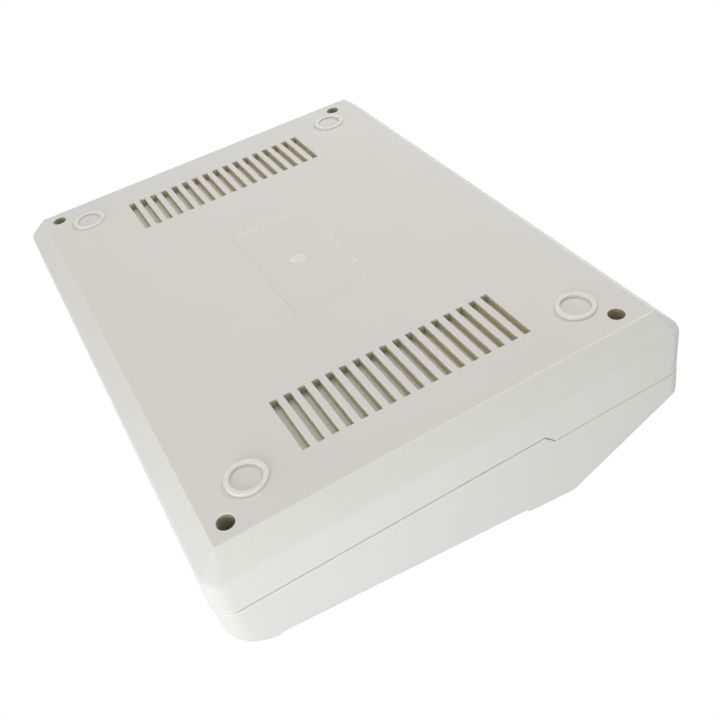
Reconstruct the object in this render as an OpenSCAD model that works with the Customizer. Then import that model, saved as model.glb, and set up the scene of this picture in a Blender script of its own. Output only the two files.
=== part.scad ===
// Desktop instrument case: a base tub with blind vent slots and a sloping cover, held by deep-set screws.
// Frame: base down, +Z up, X across the case, front (operator side) towards -Y.
// Z = 0 is the plane of the foot ring rims, and X = Y = 0 is the middle of the outline.

/* [Case] */
// Width of the case at the parting line
case_w = 226; // [190:1:280]
// Depth of the case at the parting line
case_d = 168.8; // [150:0.1:220]
// Thickness of the moulded walls
wall = 3; // [2.4:0.1:3.6]
// Thickness of the base plate
plate_t = 3.4; // [2.6:0.1:4.4]
// Draft of the base wall, in degrees
base_draft = 1.5; // [0.2:0.1:2]
// Draft of the cover wall, in degrees
cover_draft = 0.6; // [0.2:0.1:1.6]
// Radius of the upright corners at the parting line
corner_r = 6.2; // [5.4:0.1:8]

/* [Base bevel] */
// Width of the bevel round the base plate, seen from below
bevel_in = 7.9; // [5:0.1:9]
// Height of the bevel round the base plate
bevel_h = 7; // [4.5:0.1:9]
// Radius of the soft edge between bevel and wall
bevel_edge_r = 3.2; // [0.5:0.1:4]
// Radius of the soft edge between base plate and bevel
plate_edge_r = 0.6; // [0.3:0.1:1.5]

/* [Parting line] */
// Height of the parting line above the base plate along the front
seam_h = 19.8; // [16:0.1:26]
// Rise of the parting line towards the rear
seam_rise = 3.8; // [1.5:0.1:6]
// Distance behind the middle where the parting line begins to rise
seam_jog_y = 27.5; // [0:0.5:38]
// Open shadow line between base and cover
seam_gap = 0.4; // [0.2:0.05:0.8]
// Set-back of the cover's front face from the base
front_step = 0.65; // [0:0.05:1]
// Thickness of the locating lip on the base rim
lip_t = 1.8; // [0.9:0.05:2.1]
// Height of the locating lip above the parting line
lip_h = 2.2; // [1.2:0.1:4]
// Clearance between the lip and its rebate in the cover
lip_clear = 0.15; // [0.1:0.05:0.3]

/* [Cover form] */
// Height of the ridge above the base plate
ridge_h = 58.6; // [52:0.1:70]
// Distance of the ridge ahead of the rear of the case
ridge_y = 44.6; // [42.1:0.1:60.1]
// Slope of the operator panel, in degrees
panel_slope = 7.2; // [3:0.1:8]
// Slope of the rear roof, in degrees
rear_slope = 27.8; // [20:0.1:29]
// Radius along the cover's side edges
edge_r = 6; // [5:0.5:8]
// Radius of the cover's front edge, seen from the side
front_edge_r = 15; // [12:0.5:17]
// Radius where the rear roof meets the rear wall
rear_edge_r = 1.6; // [0.5:0.1:2]
// Radius of the rear roof's corners, seen from above
rear_corner_r = 4.8; // [4.6:0.1:6]

/* [Overlay recess] */
// Depth of the recess across the operator panel, at its rear edge
overlay_depth = 1; // [0.5:0.1:1.5]
// Depth of the recess at its front edge
overlay_front_depth = 0.35; // [0.1:0.05:1]
// Distance of the recess's front edge behind the front of the case
overlay_front = 14.9; // [14.1:0.1:24.1]
// Distance of the recess's rear edge ahead of the ridge
overlay_rear = 18.3; // [17.8:0.1:34.8]

/* [Vent slots] */
// Slots in each of the two rows
slot_count = 17; // [5:2:19]
// Spacing of the slots
slot_pitch = 5; // [4:0.1:5]
// Width of one slot
slot_w = 2.6; // [1:0.1:3.2]
// Length of one slot
slot_len = 24.6; // [12:0.1:26]
// Depth of a slot, which is moulded closed at the bottom
slot_depth = 3.4; // [2:0.1:4]
// Thickness of the floor that closes a slot
slot_floor = 1.2; // [0.8:0.1:2]
// Distance of the middle of a row in from the side of the case
slot_row_x = 36.8; // [35:0.1:47]

/* [Foot rings] */
// Distance of the foot rings' middles in from the sides of the case
foot_x = 24.8; // [23:0.1:33]
// Distance of the foot rings' middles in from the front and rear of the case
foot_y = 25; // [23.1:0.1:28.1]
// Outside diameter of a foot ring
foot_od = 13.4; // [12:0.1:14]
// Inside diameter of a foot ring
foot_id = 10.2; // [8:0.1:10.6]
// Height of a foot ring
foot_h = 1; // [0.6:0.1:1.6]

/* [Label recess] */
// Width of the label recess
label_w = 61.4; // [30:0.1:80]
// Depth of the label recess along the case
label_d = 31.9; // [15:0.1:50]
// How far the label recess is sunk in the plate
label_sink = 0.35; // [0.2:0.05:0.6]
// Diameter of the gate mark in the middle of the recess
gate_dia = 5.8; // [3:0.1:8]

/* [Screws] */
// Distance of the screws in from the sides of the case
screw_x = 14.1; // [13.8:0.1:19]
// Distance of the front screws in from the front of the case
screw_front_y = 13.9; // [12.6:0.1:15.1]
// Distance of the rear screws in from the rear of the case
screw_rear_y = 17.6; // [15.1:0.1:18.1]
// Diameter of the long access hole for a screw head
access_dia = 5.6; // [5.6:0.1:6.4]
// Wall of the tube round an access hole
tube_wall = 2; // [1.4:0.1:2.2]
// Diameter of the screw's core
screw_core = 2.4; // [2:0.1:2.8]
// Diameter of the screw head
head_dia = 5.2; // [4.6:0.1:5.4]
// Height of the screw head
head_h = 2.1; // [1.6:0.1:2.6]
// Length of the screw below its head
screw_len = 12; // [9:0.5:16]
// Floor under the screw head
seat_t = 3; // [2:0.1:4]
// Extra diameter of the hole that the screw passes through
pass_clear = 1; // [0.6:0.1:1.4]
// Extra diameter of the pilot hole that the core sits in
pilot_clear = 0.1; // [0.05:0.05:0.2]
// Extra depth of the pilot hole past the screw's tip
pilot_spare = 2; // [1:0.5:4]
// Diameter of the cover's screw post
post_dia = 8; // [6.5:0.1:9]

/* [Board pillars] */
// Distance of the board pillars from the middle, across the case
pillar_x = 45; // [35:0.5:52]
// Distance of the board pillars from the middle, along the case
pillar_y = 54; // [46:0.5:58]
// Height of a board pillar above the inside of the base
pillar_h = 6; // [4:0.5:10]
// Diameter of a board pillar
pillar_dia = 6.5; // [5.5:0.1:8]
// Diameter of the pilot hole in a board pillar
pillar_hole = 2.5; // [2:0.1:3]

/* [Hidden] */
$fn = 64;
hull_fn = 32;
over = 1;
sliver = 0.02;
tip_r = 0.3;
round_steps = 3;
rib_t = 1.6;
rim_flat = 1;
gate_rise = 0.2;
cross_w = 0.9;
cross_len = 3;
cross_depth = 1.2;

// Heights, all from the plane of the ring rims
plate_z = foot_h;
floor_z = plate_z + plate_t;
seam_z = plate_z + seam_h;
rear_seam_z = seam_z + seam_rise;
lip_top_z = rear_seam_z + lip_h;
ridge_z = plate_z + ridge_h;

// Outlines in plan
draft_run = (seam_h + seam_rise - bevel_h) * tan(base_draft);
cover_d = case_d - front_step;
cover_y = front_step / 2;

// Places in plan, from the middle of the outline
ridge_at = case_d / 2 - ridge_y;
recess_front_at = overlay_front - case_d / 2;
recess_rear_at = ridge_at - overlay_rear;
slot_row_at = case_w / 2 - slot_row_x;
foot_at = [case_w / 2 - foot_x, case_d / 2 - foot_y];
screw_at = case_w / 2 - screw_x;

// The bevel's inside face runs parallel to its outside face, one wall away
bevel_run = bevel_in - draft_run;
bevel_len = norm([bevel_run, bevel_h]);
bevel_shift_in = bevel_in + wall * bevel_h / bevel_len;
bevel_shift_z = plate_z + wall * bevel_run / bevel_len;
floor_in = bevel_shift_in - (floor_z - bevel_shift_z) * bevel_run / bevel_h;
wall_in = wall + draft_run;
wall_foot_z = bevel_shift_z + (bevel_shift_in - wall_in) * bevel_h / bevel_run;

// Rim profiles: [inset from the outline, height], from the floor up
rim_foot = [bevel_in, plate_z];
rim_edge = [draft_run, plate_z + bevel_h];
rim_top = [0, rear_seam_z];
outer_rim = concat(
    fillet(rim_foot + [over, 0], rim_foot, rim_edge, plate_edge_r),
    fillet(rim_foot, rim_edge, rim_top, bevel_edge_r),
    [rim_top, [0, lip_top_z]]
);
cavity_rim = [
    [floor_in - wall, floor_z],
    [wall_in - wall, wall_foot_z],
    [0, rear_seam_z],
    [0, lip_top_z + over],
];

// Screw stack: [y, height where the base tube meets the cover post]
tube_dia = access_dia + 2 * tube_wall;
screw_rows = [[screw_front_y - case_d / 2, seam_z], [case_d / 2 - screw_rear_y, rear_seam_z]];

function unit(v) = v / norm(v);

// Points round the corner at b, between the directions of a and c
function fillet(a, b, c, r) =
    let (
        u = unit(a - b),
        v = unit(c - b),
        half = acos(u * v) / 2,
        turn = 180 - 2 * half,
        centre = b + unit(u + v) * r / sin(half),
        from = b + u * r / tan(half) - centre,
        to = b + v * r / tan(half) - centre
    )
    [for (i = [0:round_steps]) let (t = i / round_steps)
        centre + (sin((1 - t) * turn) * from + sin(t * turn) * to) / sin(turn)];

// Height of the roof over a point along the case, before the recess is cut
function roof_z(y) = y < ridge_at
    ? ridge_z - (ridge_at - y) * tan(panel_slope)
    : ridge_z - (y - ridge_at) * tan(rear_slope);

// Extrudes a Y-Z outline across the case
module across(width) {
    rotate([90, 0, 90]) linear_extrude(width, center = true) children();
}

// Solid tub: a ring of corner discs at each level of its rim profile, which tightens to a tip at its foot
module tub(w, d, r, rim) {
    hull() {
        $fn = hull_fn;
        for (p = rim, sx = [-1, 1], sy = [-1, 1]) {
            disc_r = r - (r - tip_r) * p[0] / rim[0][0];
            translate([sx * (w / 2 - p[0] - disc_r), sy * (d / 2 - p[0] - disc_r), p[1]])
                cylinder(r = disc_r, h = sliver);
        }
    }
}

// Everything under the parting line, raised by lift
module below_seam(lift) {
    reach = case_d;
    jog_end = seam_jog_y + seam_rise;
    across(case_w + 2 * over)
        polygon([
            [-reach, -reach], [reach, -reach],
            [reach, rear_seam_z + lift], [jog_end, rear_seam_z + lift],
            [seam_jog_y, seam_z + lift], [-reach, seam_z + lift],
        ]);
}

// Block with the cover's plan outline, pulled in on every side by inset
module plan_block(inset, z0, z1) {
    r = corner_r - inset;
    run_x = case_w / 2 - corner_r;
    run_y = cover_d / 2 - corner_r;
    translate([0, cover_y, z0])
        linear_extrude(z1 - z0) {
            square([2 * run_x, 2 * (run_y + r)], center = true);
            square([2 * (run_x + r), 2 * run_y], center = true);
            for (sx = [-1, 1], sy = [-1, 1])
                translate([sx * run_x, sy * run_y]) circle(r);
        }
}

// Places its child at the four foot rings
module at_feet() {
    for (sx = [-1, 1], sy = [-1, 1])
        translate([sx * foot_at[0], sy * foot_at[1], 0]) children();
}

// Ring that locates a stick-on foot, with rounded rim
module foot_ring() {
    half = (foot_od - foot_id) / 4;
    mid = (foot_od + foot_id) / 4;
    round_r = half - rim_flat / 2;
    steps = 6;
    rotate_extrude()
        polygon(concat(
            [[mid + half, plate_z + over], [mid - half, plate_z + over]],
            [for (i = [0:steps]) let (a = 180 + 90 * i / steps)
                [mid - rim_flat / 2 + round_r * cos(a), round_r + round_r * sin(a)]],
            [for (i = [0:steps]) let (a = 270 + 90 * i / steps)
                [mid + rim_flat / 2 + round_r * cos(a), round_r + round_r * sin(a)]]
        ));
}

// Row of vent slots, sunk in the plate from below and closed at the bottom
module vent_row(x) {
    for (i = [0:slot_count - 1])
        translate([x, (i - (slot_count - 1) / 2) * slot_pitch, plate_z + (slot_depth - over) / 2])
            cube([slot_len, slot_w, slot_depth + over], center = true);
}

// Pads inside the base that close the slots
module vent_pads() {
    pad_x = slot_len + 2 * rib_t;
    pad_y = (slot_count - 1) * slot_pitch + slot_w + 2 * rib_t;
    pad_h = slot_depth + slot_floor - plate_t / 2;
    for (sx = [-1, 1])
        translate([sx * slot_row_at, 0, plate_z + plate_t / 2 + pad_h / 2])
            cube([pad_x, pad_y, pad_h], center = true);
}

// Tubes for the screws, each tied to the side wall and the end wall by a rib
module screw_tubes() {
    for (sx = [-1, 1], row = screw_rows) {
        end = sign(row[0]);
        rib_y = case_d / 2 - abs(row[0]);
        rib_h = row[1] - plate_z - seat_t;
        translate([sx * screw_at, row[0], 0]) {
            translate([0, 0, plate_z]) cylinder(d = tube_dia, h = row[1] - plate_z);
            translate([sx * screw_x / 2, 0, plate_z + rib_h / 2])
                cube([screw_x, rib_t, rib_h], center = true);
            translate([0, end * rib_y / 2, plate_z + rib_h / 2])
                cube([rib_t, rib_y, rib_h], center = true);
        }
    }
}

// Access holes for the screw heads, and the holes that the screws pass through
module screw_bores() {
    for (sx = [-1, 1], row = screw_rows)
        translate([sx * screw_at, row[0], 0]) {
            cylinder(d = access_dia, h = row[1] - seat_t);
            cylinder(d = screw_core + pass_clear, h = row[1] + over);
        }
}

// Pillars for a circuit board
module board_pillars() {
    for (sx = [-1, 1], sy = [-1, 1])
        translate([sx * pillar_x, sy * pillar_y, plate_z + plate_t / 2])
            cylinder(d = pillar_dia, h = plate_t / 2 + pillar_h);
}

module pillar_bores() {
    for (sx = [-1, 1], sy = [-1, 1])
        translate([sx * pillar_x, sy * pillar_y, floor_z])
            cylinder(d = pillar_hole, h = pillar_h + over);
}

module label_recess() {
    translate([0, 0, plate_z + label_sink / 2 - over / 2])
        difference() {
            cube([label_w, label_d, label_sink + over], center = true);
            translate([0, 0, over / 2 + label_sink / 2 - gate_rise])
                cylinder(d = gate_dia, h = gate_rise + over);
        }
}

module base_shell() {
    color("gainsboro")
        difference() {
            union() {
                intersection() {
                    tub(case_w, case_d, corner_r, outer_rim);
                    union() {
                        difference() {
                            union() {
                                below_seam(0);
                                intersection() {
                                    plan_block(wall - lip_t, plate_z, lip_top_z + over);
                                    below_seam(lip_h);
                                }
                            }
                            translate([0, cover_y, 0])
                                tub(case_w - 2 * wall, cover_d - 2 * wall, corner_r - wall, cavity_rim);
                        }
                        screw_tubes();
                        board_pillars();
                        vent_pads();
                    }
                }
                at_feet() foot_ring();
            }
            vent_row(slot_row_at);
            vent_row(-slot_row_at);
            screw_bores();
            pillar_bores();
            label_recess();
        }
}

// Ring that rounds a front corner: the side edge's radius carried round the front edge
module nose_ring(r) {
    rotate([0, 90, 0])
        rotate_extrude()
            intersection() {
                translate([front_edge_r - edge_r, 0]) circle(r);
                translate([0, -r]) square([front_edge_r, 2 * r]);
            }
}

// Closed form of the cover, pulled in on every side by inset
module cover_form(inset) {
    rise = ridge_h - seam_h;
    lean = rise * tan(cover_draft) / 2;
    foot_x_run = case_w / 2 - corner_r;
    front_y = -case_d / 2 + front_step;
    top_x = case_w / 2 - lean - edge_r;
    rear_r = min(rear_edge_r, (rear_corner_r - inset) / 2);
    rear_top = roof_z(case_d / 2 - inset) - inset / cos(rear_slope);
    nose_y = front_y + lean + front_edge_r;
    nose_z = roof_z(nose_y) - front_edge_r / cos(panel_slope);
    hull() {
        $fn = hull_fn;
        for (sx = [-1, 1]) {
            for (y = [front_y + corner_r, case_d / 2 - corner_r])
                translate([sx * foot_x_run, y, seam_z - over - inset])
                    cylinder(r = corner_r - inset, h = over);
            translate([sx * top_x, nose_y, nose_z]) nose_ring(edge_r - inset);
            translate([sx * top_x, ridge_at, ridge_z - edge_r])
                rotate([90, 0, 0]) cylinder(r = edge_r - inset, h = sliver, center = true);
            translate([sx * (case_w / 2 - rear_corner_r), case_d / 2 - rear_corner_r, rear_top - rear_r])
                rotate_extrude()
                    translate([rear_corner_r - inset - rear_r, 0]) circle(rear_r);
        }
    }
}

// Band across the operator panel, over a tunnel that stays solid
module overlay_band() {
    band = recess_rear_at - recess_front_at;
    rear_z = roof_z(recess_rear_at) - overlay_depth;
    front_z = roof_z(recess_front_at) - overlay_front_depth;
    tunnel_r = edge_r + overlay_depth;
    tunnel_half = case_w / 2;
    difference() {
        translate([-case_w, recess_front_at, seam_z])
            cube([2 * case_w, band, case_d]);
        translate([0, recess_rear_at, rear_z])
            rotate([90 + atan((rear_z - front_z) / band), 0, 0])
                linear_extrude(2 * case_d, center = true) {
                    translate([-tunnel_half - over, -case_d - tunnel_r])
                        square([2 * (tunnel_half + over), case_d]);
                    translate([-tunnel_half + tunnel_r, -case_d])
                        square([2 * (tunnel_half - tunnel_r), case_d]);
                    for (sx = [-1, 1])
                        translate([sx * (tunnel_half - tunnel_r), -tunnel_r])
                            circle(tunnel_r);
                }
    }
}

// Posts that the screws bite into
module cover_posts() {
    intersection() {
        cover_form(wall / 2);
        for (sx = [-1, 1], row = screw_rows)
            translate([sx * screw_at, row[0], row[1]])
                cylinder(d = post_dia, h = ridge_z);
    }
}

module post_bores() {
    for (sx = [-1, 1], row = screw_rows)
        translate([sx * screw_at, row[0], row[1] - over])
            cylinder(d = screw_core + pilot_clear, h = over + screw_len - seat_t + pilot_spare);
}

module top_cover() {
    color("whitesmoke")
        difference() {
            union() {
                difference() {
                    cover_form(0);
                    cover_form(wall);
                    overlay_band();
                    below_seam(seam_gap);
                    intersection() {
                        plan_block(wall - lip_t - lip_clear, plate_z, lip_top_z + 2 * over);
                        below_seam(lip_h + lip_clear);
                    }
                }
                cover_posts();
            }
            post_bores();
        }
}

// Self-tapping screw, head down, with a cross recess
module case_screw() {
    difference() {
        union() {
            translate([0, 0, -head_h]) cylinder(d = head_dia, h = head_h);
            cylinder(d = screw_core, h = screw_len);
        }
        for (a = [0, 90])
            rotate([0, 0, a])
                translate([0, 0, -head_h])
                    cube([cross_len, cross_w, 2 * cross_depth], center = true);
    }
}

module case_screws() {
    color("silver")
        for (sx = [-1, 1], row = screw_rows)
            translate([sx * screw_at, row[0], row[1] - seat_t])
                case_screw();
}

base_shell();
top_cover();
case_screws();
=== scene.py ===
import math

import bmesh
import bpy
from mathutils import Matrix, Vector


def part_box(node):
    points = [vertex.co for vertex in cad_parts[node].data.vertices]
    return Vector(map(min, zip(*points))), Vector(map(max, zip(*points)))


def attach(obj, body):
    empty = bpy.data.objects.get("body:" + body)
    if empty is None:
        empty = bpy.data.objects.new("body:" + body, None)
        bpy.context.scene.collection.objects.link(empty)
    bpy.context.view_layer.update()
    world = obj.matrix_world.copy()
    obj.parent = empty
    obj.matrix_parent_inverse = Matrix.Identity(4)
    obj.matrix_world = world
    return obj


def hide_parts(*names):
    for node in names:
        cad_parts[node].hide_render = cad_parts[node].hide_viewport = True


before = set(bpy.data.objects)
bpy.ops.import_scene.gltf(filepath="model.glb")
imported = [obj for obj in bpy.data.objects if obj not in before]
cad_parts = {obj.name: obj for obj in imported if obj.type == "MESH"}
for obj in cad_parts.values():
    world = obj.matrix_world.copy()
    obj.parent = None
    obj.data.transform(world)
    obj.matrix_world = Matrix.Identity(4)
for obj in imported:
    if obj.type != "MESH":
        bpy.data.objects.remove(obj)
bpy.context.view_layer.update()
mm = 0.001
scene = bpy.context.scene
scene.view_settings.view_transform = "Standard"
print("frame loaded:", sorted(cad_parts))


# shader wiring
class Wire:
    def __init__(self, tree, socket=None):
        self.tree = tree
        self.socket = socket

    def make(self, kind, settings, sockets, out=0):
        node = self.tree.nodes.new(kind)
        for key, value in settings.items():
            setattr(node, key, value)
        for key, value in sockets.items():
            self.feed(node.inputs[key], value)
        return Wire(self.tree, node.outputs[out] if len(node.outputs) else None)

    def feed(self, target, value):
        if isinstance(value, Wire):
            self.tree.links.new(value.socket, target)
        else:
            target.default_value = value

    def maths(self, operation, first, second):
        return self.make("ShaderNodeMath", {"operation": operation}, {0: first, 1: second})

    def mixColours(self, share, first, second):      # by number, as a Mix node's sockets share their names
        return self.make("ShaderNodeMix", {"data_type": "RGBA"}, {0: share, 6: first, 7: second}, 2)

    def noise(self, spot, size, detail, roughness):
        return self.make("ShaderNodeTexNoise", {}, {
            "Vector": spot, "Scale": 1 / (size * mm), "Detail": detail, "Roughness": roughness})

    def attribute(self, name):
        return self.make("ShaderNodeAttribute", {"attribute_name": name}, {}, "Fac")

    def __add__(self, other):
        return self.maths("ADD", self, other)

    def __sub__(self, other):
        return self.maths("SUBTRACT", self, other)

    def __rsub__(self, other):
        return self.maths("SUBTRACT", other, self)

    def __mul__(self, other):
        return self.maths("MULTIPLY", self, other)

    __radd__ = __add__
    __rmul__ = __mul__


def newMaterial(name):
    material = bpy.data.materials.new(name)
    material.use_nodes = True
    material.node_tree.nodes.clear()
    return material, Wire(material.node_tree)


# camera, looking up at the base from the front left
cameraRig = {
    "place": (-253.787, -80.224, -179.611),   # mm
    "aim": (-65.281, -8.955, 1.0),            # mm, where the view's middle meets the base plate
    "roll": 12.384,                           # degrees, off the case's own upside-down upright
    "lens": 42.035,
    "sensor": 36.0,
    "clipStart": 10.0,                        # mm
}


def buildCamera(rig):
    data = bpy.data.cameras.new("viewCamera")
    data.lens = rig["lens"]
    data.sensor_width = rig["sensor"]
    data.clip_start = rig["clipStart"] * mm
    camera = bpy.data.objects.new("viewCamera", data)
    scene.collection.objects.link(camera)
    place = Vector(rig["place"]) * mm
    ahead = (Vector(rig["aim"]) * mm - place).normalized()
    down = Vector((0, 0, -1))
    upright = (down - ahead * down.dot(ahead)).normalized()
    side = ahead.cross(upright)
    turn = math.radians(rig["roll"])
    up = upright * math.cos(turn) + side * math.sin(turn)
    right = ahead.cross(up)
    axes = Matrix((right, up, -ahead)).transposed().to_4x4()
    camera.matrix_world = Matrix.Translation(place) @ axes
    scene.camera = camera


buildCamera(cameraRig)
print("camera set")


# stage: a pale floor under the case, seen only from above, and soft lamps round it
stageLook = {
    "floorSize": 4000.0,           # mm
    "floorDrop": 0.2,              # mm below the rims of the foot rings
    "floorColour": (0.93, 0.93, 0.92, 1.0),
    "floorFade": (140.0, 420.0),   # mm from the middle, over which the floor turns into the backdrop
    "backdrop": (1.0, 1.0, 1.0, 1.0),
    "backdropStrength": 1.0,
    "ambient": (1.0, 1.0, 1.0, 1.0),
    "ambientStrength": 0.4,
}
unseenBy = ("diffuse", "glossy", "transmission", "volume_scatter", "shadow")   # rays that pass the floor
lamps = {                          # place, aim and size in mm, strength in watts, colour
    "cornerKey": ((-330, -330, -60), (-100, -60, 15), 220, 0.9, (0.942, 0.968, 1.0)),
    "tableLeft": ((-430, -40, 80), (-100, 0, 25), 280, 0.45, (0.97, 0.995, 1.0)),
    "rearCorner": ((-260, 400, 40), (-90, 70, 20), 280, 0.1, (1.0, 0.97, 0.88)),
    "underMid": ((200, 40, -560), (20, 10, 0), 500, 0.95, (1.0, 0.995, 0.985)),
    "underRear": ((120, 540, -420), (0, 60, 0), 320, 1.8, (1.0, 0.99, 0.945)),
    "underFront": ((60, -420, -560), (0, -40, 0), 400, 0.33, (1.0, 1.0, 1.0)),
    "frontLow": ((150, -600, -60), (30, -80, 5), 240, 0.65, (1.0, 1.0, 1.0)),
    "topSoft": ((720, 260, 620), (0, 0, 40), 700, 4.2, (1.0, 1.0, 1.0)),
    "rearSoft": ((360, 620, 420), (0, 40, 30), 600, 1.5, (1.0, 1.0, 1.0)),
    "rightSoft": ((640, -160, 300), (60, 0, 30), 500, 0.9, (1.0, 1.0, 1.0)),
    "frontTop": ((420, -640, 480), (0, -20, 40), 600, 1.8, (1.0, 1.0, 1.0)),
}


def floorMaterial(look):
    material, ink = newMaterial("paleFloor")
    back = ink.make("ShaderNodeNewGeometry", {}, {}, "Backfacing")
    spot = ink.make("ShaderNodeTexCoord", {}, {}, "Object")
    away = ink.make("ShaderNodeVectorMath", {"operation": "LENGTH"}, {0: spot}, "Value")
    near, far = look["floorFade"]
    fade = ink.make("ShaderNodeMapRange", {"interpolation_type": "SMOOTHSTEP"}, {
        "Value": away, "From Min": near * mm, "From Max": far * mm})
    pale = ink.make("ShaderNodeBsdfDiffuse", {}, {"Color": look["floorColour"]})
    white = ink.make("ShaderNodeEmission", {}, {
        "Color": look["backdrop"], "Strength": look["backdropStrength"]})
    top = ink.make("ShaderNodeMixShader", {}, {0: fade, 1: pale, 2: white})
    clear = ink.make("ShaderNodeBsdfTransparent", {}, {})
    both = ink.make("ShaderNodeMixShader", {}, {0: back, 1: top, 2: clear})
    ink.make("ShaderNodeOutputMaterial", {}, {"Surface": both})
    return material


def buildFloor(look):
    bm = bmesh.new()
    bmesh.ops.create_grid(bm, x_segments=1, y_segments=1, size=look["floorSize"] * mm / 2)
    bmesh.ops.translate(bm, vec=(0, 0, -look["floorDrop"] * mm), verts=bm.verts)
    mesh = bpy.data.meshes.new("paleFloor")
    bm.to_mesh(mesh)
    bm.free()
    mesh.materials.append(floorMaterial(look))
    floor = bpy.data.objects.new("paleFloor", mesh)
    scene.collection.objects.link(floor)
    for ray in unseenBy:
        setattr(floor, "visible_" + ray, False)


def buildWorld(look):
    world = bpy.data.worlds.new("studioWorld")
    world.use_nodes = True
    world.node_tree.nodes.clear()
    ink = Wire(world.node_tree)
    camera, glossy, through = [ink.make("ShaderNodeLightPath", {}, {}, "Is %s Ray" % ray)
                               for ray in ("Camera", "Glossy", "Transmission")]
    soft = ink.make("ShaderNodeBackground", {}, {
        "Color": look["ambient"], "Strength": look["ambientStrength"]})
    white = ink.make("ShaderNodeBackground", {}, {
        "Color": look["backdrop"], "Strength": look["backdropStrength"]})
    both = ink.make("ShaderNodeMixShader", {}, {0: camera + glossy + through, 1: soft, 2: white})
    ink.make("ShaderNodeOutputWorld", {}, {"Surface": both})
    scene.world = world


def buildLamp(name, place, aim, size, watts, colour):
    data = bpy.data.lights.new(name, "AREA")
    data.shape = "DISK"
    data.size = size * mm
    data.energy = watts
    data.color = colour
    lamp = bpy.data.objects.new(name, data)
    scene.collection.objects.link(lamp)
    lamp.location = Vector(place) * mm
    lamp.rotation_euler = (Vector(aim) - Vector(place)).to_track_quat("-Z", "Y").to_euler()


buildFloor(stageLook)
buildWorld(stageLook)
for lampName, lampFacts in lamps.items():
    buildLamp(lampName, *lampFacts)
print("stage and", len(lamps), "lamps set")


noiseMiddle = 0.5             # of a noise texture's values

# warm pale moulded plastic with a fine spark grain, a little paler and shinier along edges from wear; the
# same paler colour is a painted highlight on rims, edges, the gate mark and the label's edge and painted
# light on slot floors, and darker colours are painted shade in slots, screw holes and the seam
plasticLook = {
    "colour": (0.668, 0.658, 0.622, 1.0),
    "colourPale": (0.692, 0.684, 0.650, 1.0),
    # paler colour of edge wear, also painted as a highlight on rims, edges, the gate mark and the label's
    # edge, and as light on slot floors
    "colourWornLit": (0.84, 0.834, 0.808, 1.0),
    "colourShadeTint": (0.70, 0.68, 0.41, 1.0),      # painted shade: olive tint on the walls of the slots and the seam
    "colourShadeDeep": (0.43, 0.385, 0.30, 1.0),     # painted shade: darker colour where little light gets in
    "sunkBand": (0.2, 2.2),   # mm below the outer face where the painted shade begins and is full
    "cloud": {"size": 38.0, "detail": 3.0, "roughness": 0.55},   # size in mm
    "grain": {"size": 0.34, "detail": 2.5, "roughness": 0.6},
    "grainDepth": 0.005,      # mm
    "pitBand": (0.3, 0.55),   # the grain's values from a pit's bottom to its edge
    "pitDark": 0.05,          # how much darker the pits are
    "roughness": 0.64,
    "roughGrain": 0.12,
    "roughCloud": 0.08,
    "wornLitShine": 0.14,
    "wornLitCoat": 0.8,
    "coatRoughness": 0.3,
    "ior": 1.45,
    "specular": 0.02,
}


def plasticMaterial(look):
    material, ink = newMaterial("ivoryPlastic")
    spot = ink.make("ShaderNodeTexCoord", {}, {}, "Object")
    cloud = ink.noise(spot, **look["cloud"])
    grain = ink.noise(spot, **look["grain"])
    wearAndHighlight = ink.attribute("wearAndHighlight")
    sunk = ink.attribute("sunk")
    paintedShadeShare = ink.attribute("paintedShadeShare")
    bottom, edge = look["pitBand"]
    pits = ink.make("ShaderNodeMapRange", {}, {
        "Value": grain, "From Min": bottom, "From Max": edge, "To Min": 1 - look["pitDark"]})
    begin, full = look["sunkBand"]
    deep = ink.make("ShaderNodeMapRange", {}, {"Value": sunk, "From Min": begin, "From Max": full})
    fresh = ink.mixColours(cloud, look["colour"], look["colourPale"])
    # paler colour for edge wear and painted highlights, then painted shade in slots, holes and the seam
    wornAndLit = ink.mixColours(wearAndHighlight, fresh, look["colourWornLit"])
    sides = ink.mixColours(deep * paintedShadeShare, wornAndLit, look["colourShadeTint"])
    inner = ink.mixColours(deep * (paintedShadeShare - 1.0), sides, look["colourShadeDeep"])   # painted shade: what a tone has past 1 goes into the darker colour
    paint = ink.make("ShaderNodeVectorMath", {"operation": "SCALE"}, {0: inner, "Scale": pits})
    unevenness = look["roughGrain"] * (grain - noiseMiddle) + look["roughCloud"] * (cloud - noiseMiddle)
    bump = ink.make("ShaderNodeBump", {}, {"Distance": look["grainDepth"] * mm, "Height": grain})
    shader = ink.make("ShaderNodeBsdfPrincipled", {}, {
        "Base Color": paint,
        "Roughness": look["roughness"] + unevenness - look["wornLitShine"] * wearAndHighlight,
        "Normal": bump,
        "Coat Weight": look["wornLitCoat"] * wearAndHighlight,
        "Coat Roughness": look["coatRoughness"],
        "IOR": look["ior"],
        "Specular IOR Level": look["specular"]})
    ink.make("ShaderNodeOutputMaterial", {}, {"Surface": shader})
    return material


# bright zinc on the screws, with a faint cloudy passivation
zincLook = {
    "colour": (0.62, 0.63, 0.64, 1.0),
    "colourWarm": (0.66, 0.63, 0.56, 1.0),
    "cloud": {"size": 1.6, "detail": 3.0, "roughness": 0.6},     # size in mm
    "brush": {"size": 0.12, "detail": 2.0, "roughness": 0.5},
    "brushDepth": 0.004,      # mm
    "roughness": 0.30,
    "roughSpread": 0.16,
}


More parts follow.
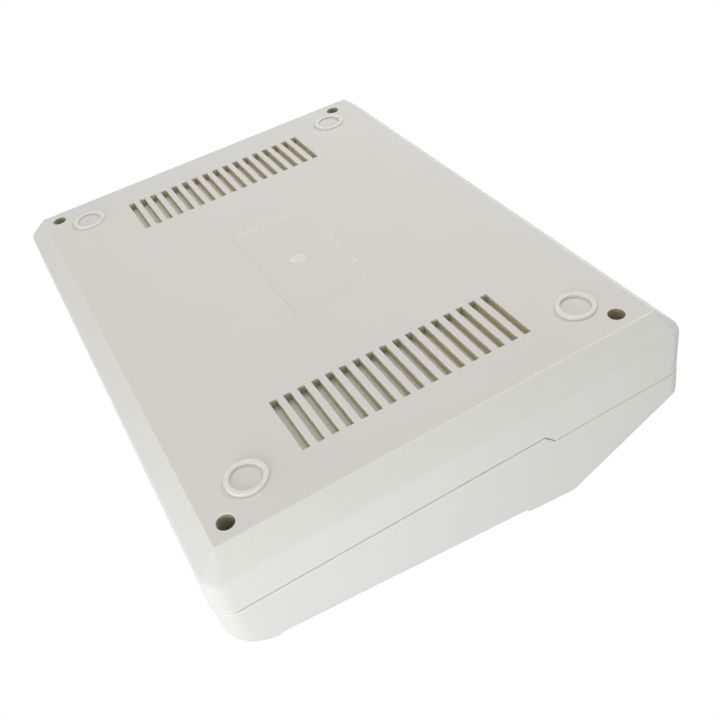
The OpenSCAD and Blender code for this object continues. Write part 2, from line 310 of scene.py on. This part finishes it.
def zincMaterial(look):
    material, ink = newMaterial("zincPlate")
    spot = ink.make("ShaderNodeTexCoord", {}, {}, "Object")
    cloud = ink.noise(spot, **look["cloud"])
    brush = ink.noise(spot, **look["brush"])
    bump = ink.make("ShaderNodeBump", {}, {"Distance": look["brushDepth"] * mm, "Height": brush})
    shader = ink.make("ShaderNodeBsdfPrincipled", {}, {
        "Base Color": ink.mixColours(cloud, look["colour"], look["colourWarm"]),
        "Roughness": look["roughness"] + look["roughSpread"] * (cloud - noiseMiddle),
        "Normal": bump,
        "Metallic": 1.0})
    ink.make("ShaderNodeOutputMaterial", {}, {"Surface": shader})
    return material


casePlastic = plasticMaterial(plasticLook)
zincPlate = zincMaterial(zincLook)
print("plastic and zinc ready")


# soft moulded edges on copies of the CAD solids
shellLook = {
    "weld": 0.002,            # mm, joins the CAD mesh's loose triangles
    "flat": 0.5,              # degrees, below this two faces are one
    "sharp": 35.0,            # degrees, above this an edge is a moulded one
    "crease": 50.0,           # degrees, above this an edge stays sharp in the shading
    "cornerRound": 6.2,       # mm, of the outline
    "rimDepth": 0.8,          # mm, how far in from the outline a rim edge lies
    "rimSoft": 0.3,           # mm
    "softSteps": 3,
    "edgeWearHighlight": 0.45,         # share of the paler colour that a moulded edge has: wear and a painted highlight
}


def startCopy(node, look):
    bm = bmesh.new()
    bm.from_mesh(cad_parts[node].data)
    bm.verts.layers.float.new("wearAndHighlight")
    bm.verts.layers.float.new("sunk")
    bm.faces.layers.float.new("paintedShadeShare")
    bmesh.ops.remove_doubles(bm, verts=bm.verts, dist=look["weld"] * mm)
    bmesh.ops.dissolve_limit(bm, angle_limit=math.radians(look["flat"]), verts=bm.verts, edges=bm.edges)
    return bm


def mouldedEdges(bm, look, zone):
    limit = math.radians(look["sharp"])
    return [edge for edge in bm.edges if edge.is_convex and edge.calc_face_angle(0.0) > limit
            and all(zone(vert.co / mm) for vert in edge.verts)]


def softenEdges(bm, edges, width, look):
    wearAndHighlight = bm.verts.layers.float["wearAndHighlight"]
    made = bmesh.ops.bevel(bm, geom=edges, offset=width * mm, offset_type="OFFSET", affect="EDGES",
                           segments=look["softSteps"], profile=0.5, material=-1, clamp_overlap=False)
    strip = set(made["faces"])
    # the middle of each softened strip takes the paler colour of wear and a painted highlight
    for vert in {vert for face in strip for vert in face.verts}:
        if strip.issuperset(vert.link_faces):
            vert[wearAndHighlight] = look["edgeWearHighlight"]


def softenZones(bm, look, zones):
    counts = []
    for zone, width in zones:
        edges = mouldedEdges(bm, look, zone)
        counts.append(len(edges))
        softenEdges(bm, edges, width, look)
    return counts


def markVerts(bm, layer, measure):
    values = bm.verts.layers.float[layer]
    for vert in bm.verts:
        vert[values] = max(vert[values], measure(vert.co / mm))


def markFaces(bm, layer, measure):
    values = bm.faces.layers.float[layer]
    for face in bm.faces:
        face[values] = measure(face.calc_center_median() / mm, face.normal)


def finishPiece(bm, name, look, node, material):
    limit = math.radians(look["crease"])
    for edge in bm.edges:
        edge.smooth = edge.calc_face_angle(0.0) < limit
    for face in bm.faces:
        face.smooth = True
    mesh = bpy.data.meshes.new(name)
    bm.to_mesh(mesh)
    bm.free()
    mesh.materials.append(material)
    piece = bpy.data.objects.new(name, mesh)
    scene.collection.objects.link(piece)
    normals = piece.modifiers.new("flatFaces", "WEIGHTED_NORMAL")
    normals.keep_sharp = True
    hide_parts(node)
    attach(piece, "root")


# parting line between the two mouldings, and how deep in it a point looks, which sets the painted shade
# along it
caseHalf = [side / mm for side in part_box("base_shell")[1][:2]]
seamLook = {
    "front": 20.8,            # mm, its height along the front
    "rear": 24.6,             # mm, its height along the rear
    "jog": (27.5, 31.3),      # mm behind the middle, over which it rises
    "gap": 0.4,               # mm, from the base's rim to the cover's rim
    "tint": 2.2,              # mm, how deep the seam's rims look, for their painted shade
    "fade": 0.9,              # mm from the rim to where the painted shade of the seam ends
    "back": 2.6,              # mm, how deep the lip behind the seam looks, for its painted shade
    "reach": 3.0,             # mm, how far in from the outline and off the rim the seam's faces lie
    "tone": 0.36,             # share of the painted shade colour that they take
}


def insetFromOutline(spot):
    radius = shellLook["cornerRound"]
    dx = abs(spot.x) - (caseHalf[0] - radius)
    dy = abs(spot.y) - (caseHalf[1] - radius)
    return radius - math.hypot(max(dx, 0), max(dy, 0)) - min(max(dx, dy), 0)


def aboveSeam(spot):
    begin, end = seamLook["jog"]
    share = min(max((spot.y - begin) / (end - begin), 0), 1)
    return spot.z - seamLook["front"] - share * (seamLook["rear"] - seamLook["front"])


def seamDepth(spot, rim):
    inset = insetFromOutline(spot)
    away = abs(aboveSeam(spot) - rim)
    if inset > seamLook["reach"]:
        return 0.0
    if inset > shellLook["rimDepth"]:
        return seamLook["back"] if away < seamLook["reach"] else 0.0
    return seamLook["tint"] * max(1 - away / seamLook["fade"], 0)


def rimZone(look):
    low, high = look["rimBand"]
    return lambda spot: low < spot.z < high and insetFromOutline(spot) < look["rimDepth"]


# base moulding
baseLook = dict(
    shellLook,
    plateFace=1.0,            # mm, height of the plate's outside
    plateTop=1.45,            # mm, edges below this are on the outside of the plate
    plateInset=10.0,          # mm in from the outline, inside which all lies on the plate
    edgeInset=(7.75, 8.1),    # mm in from the outline where the plate's soft edge lies
    edgeTop=1.12,             # mm, below this the plate's edge gets a painted highlight
    plateEdgeHighlight=(0.15, 0.9),    # share of the paler colour there, at the front and at the rear of the sides: a painted highlight, stronger where the light falls
    rimBand=(18.0, 25.2),     # mm, heights of the parting line
    ringRim=0.45,             # mm, below this a foot ring's rim is paler
    ringWearHighlight=0.35,            # share of the paler colour there: a paler finish with a painted highlight
    slotBand=(62.0, 91.0),    # mm from the middle, across the case, where the vent slots lie
    slotReach=43.0,           # mm from the middle, along the case, where they end
    slotSoft=0.1,             # mm
    slotFloorLight=0.65,           # share of the paler colour painted on a slot's floor as light
    floorTone=0.05,           # share of the painted shade there
    sideTone=1.5,             # the same on its long walls, where past 1 it goes over into the darker painted shade
    endTone=1.7,              # the same at a slot's ends
    holeTone=1.8,             # the same in a screw hole
    holeAt=(98.9, (-70.5, 66.8)),   # mm from the middle, across and along the case
    holeReach=3.0,            # mm, radius of a screw hole with most of its soft edge
    holeSteep=4.0,            # how many times deeper its wall looks to the painted shade
    holeRim=1.25,             # mm, below this its edge gets a painted highlight
    holeRimHighlight=0.8,             # share of the paler colour there, a painted highlight
    toneDepth=0.5,            # mm, how deep a face lies before it takes the painted shade
    markHalf=(32.0, 17.0),    # mm, half the label recess, with room round it
    markSoft=0.16,            # mm
    labelHalf=(30.7, 15.95),  # mm, half the label recess
    labelFloor=1.35,          # mm, height of its floor
    labelLine=0.15,           # mm, width of the painted highlight line along its edge
    labelEdgeHighlight=1.0,            # share of the paler colour there
    gateReach=2.9,            # mm, radius of the gate mark
    gateRoom=(0.1, 0.05),     # mm, past its radius and below the label's floor, that still belong to it
    gateFace=1.15,            # mm, height of its face
    gateRim=0.8,              # mm, width of its rim
    gateDish=0.12,            # mm, how deep it is dished
    gateWearHighlight=(0.25, 0.75),    # share of the paler colour in its middle and on its rim: a glossier gate mark with a painted highlight
    sameHeight=0.01,          # mm, heights closer than this are one
    facesDown=0.9,            # how far a normal points down on a floor
    facesEnd=0.7,             # how far it points along a slot on the slot's ends
)


def buildBase(look):
    bm = startCopy("base_shell", look)

    def within(spot, half):
        return abs(spot.x) < half[0] and abs(spot.y) < half[1]

    def onMark(spot):
        return spot.z < look["plateTop"] and within(spot, look["markHalf"])

    def inSlots(spot):
        near, far = look["slotBand"]
        return near < abs(spot.x) < far and abs(spot.y) < look["slotReach"]

    def onSlot(spot):
        return spot.z < look["plateTop"] and inSlots(spot)

    def onPlate(spot):
        return spot.z < look["plateTop"] and not onMark(spot) and not inSlots(spot)

    def inHole(spot):
        across, rows = look["holeAt"]
        return any(math.hypot(abs(spot.x) - across, spot.y - row) < look["holeReach"] for row in rows)

    def inPlate(spot):
        return insetFromOutline(spot) > look["plateInset"]

    def depth(spot):
        if not inPlate(spot):
            return seamDepth(spot, 0.0)
        steep = look["holeSteep"] if inHole(spot) else 1
        return max(spot.z - look["plateFace"], 0) * steep

    def onGate(spot):
        aside, below = look["gateRoom"]
        near = math.hypot(spot.x, spot.y) < look["gateReach"] + aside
        return near and spot.z < look["labelFloor"] - below

    def onFloor(spot):
        return within(spot, look["labelHalf"]) and not onGate(spot)

    def onLine(spot):
        halfX, halfY = look["labelHalf"]
        margin = max(abs(spot.x) - halfX, abs(spot.y) - halfY)
        sunkIn = look["plateFace"] + look["sameHeight"] < spot.z < look["plateTop"]
        return sunkIn and abs(margin) < look["labelLine"] / 2

    def onEdge(spot):
        low, high = look["edgeInset"]
        return look["plateFace"] < spot.z < look["edgeTop"] and low < insetFromOutline(spot) < high

    def edgeLineShare(spot):
        front, rear = look["plateEdgeHighlight"]
        onSide = abs(spot.x) > caseHalf[0] - look["edgeInset"][1]
        return front + (rear - front) * onSide * (spot.y / caseHalf[1] + 1) / 2

    def gateLitShare(spot):
        middle, rim = look["gateWearHighlight"]
        onRim = math.hypot(spot.x, spot.y) > look["gateReach"] - look["gateRim"] / 2
        return rim if onRim else middle

    # share of the paler colour: wear with painted highlights on foot rings, hole rims, the gate mark, the
    # plate's edge and the label's edge, and painted light on slot floors
    def wearHighlightShare(spot):
        if spot.z < look["ringRim"]:
            return look["ringWearHighlight"]
        if inHole(spot):
            return look["holeRimHighlight"] if spot.z < look["holeRim"] else 0.0
        if inSlots(spot):
            return look["slotFloorLight"] if spot.z > look["plateTop"] else 0.0
        if onGate(spot):
            return gateLitShare(spot)
        if onEdge(spot):
            return edgeLineShare(spot)
        return look["labelEdgeHighlight"] if onLine(spot) else 0.0

    # share of painted shade on a face: slot floors, walls and ends, screw holes and the seam
    def paintedShadeTone(middle, normal):
        if depth(middle) <= look["toneDepth"]:
            return 0.0
        if not inSlots(middle):
            return look["holeTone"] if inPlate(middle) else seamLook["tone"]
        if normal.z < -look["facesDown"]:
            return look["floorTone"]
        return look["endTone"] if abs(normal.x) > look["facesEnd"] else look["sideTone"]

    def dress(zone, height, width, sink):
        faces = [face for face in bm.faces
                 if face.normal.z < -look["facesDown"] and zone(face.calc_center_median() / mm)
                 and all(abs(vert.co.z / mm - height) < look["sameHeight"] for vert in face.verts)]
        bmesh.ops.inset_region(bm, faces=faces, thickness=width * mm, depth=-sink * mm,
                               use_even_offset=True)

    dress(onFloor, look["labelFloor"], look["labelLine"], 0.0)
    dress(onGate, look["gateFace"], look["gateRim"], look["gateDish"])
    counts = softenZones(bm, look, ((onMark, look["markSoft"]), (onSlot, look["slotSoft"]),
                                    (onPlate, look["rimSoft"]), (rimZone(look), look["rimSoft"])))
    markVerts(bm, "sunk", depth)
    markVerts(bm, "wearAndHighlight", wearHighlightShare)
    markFaces(bm, "paintedShadeShare", paintedShadeTone)
    finishPiece(bm, "baseShell", look, "base_shell", casePlastic)
    print("base shell: softened edges", counts)


# cover moulding
coverLook = dict(
    shellLook,
    rimSoft=0.6,              # mm
    rimBand=(20.0, 26.5),     # mm, heights of the parting line
    recessFoot=32.0,          # mm, edges above this bound the panel's recess
    recessSoft=0.12,          # mm
)


def buildCover(look):
    bm = startCopy("top_cover", look)

    def onRecess(spot):
        return spot.z > look["recessFoot"] and insetFromOutline(spot) > look["rimDepth"]

    def depth(spot):
        return seamDepth(spot, seamLook["gap"])

    # painted shade along the seam
    def paintedShadeTone(middle, normal):
        return seamLook["tone"] if depth(middle) > 0 else 0.0

    counts = softenZones(bm, look, ((rimZone(look), look["rimSoft"]), (onRecess, look["recessSoft"])))
    markVerts(bm, "sunk", depth)
    markFaces(bm, "paintedShadeShare", paintedShadeTone)
    finishPiece(bm, "topCover", look, "top_cover", casePlastic)
    print("top cover: softened edges", counts)


# case screws
screwLook = dict(
    shellLook,
    rimSoft=0.25,             # mm
)


def buildScrews(look):
    bm = startCopy("case_screws", look)
    counts = softenZones(bm, look, ((lambda spot: True, look["rimSoft"]),))
    finishPiece(bm, "caseScrews", look, "case_screws", zincPlate)
    print("case screws: softened edges", counts)


buildBase(baseLook)
buildCover(coverLook)
buildScrews(screwLook)

print("pieces done")
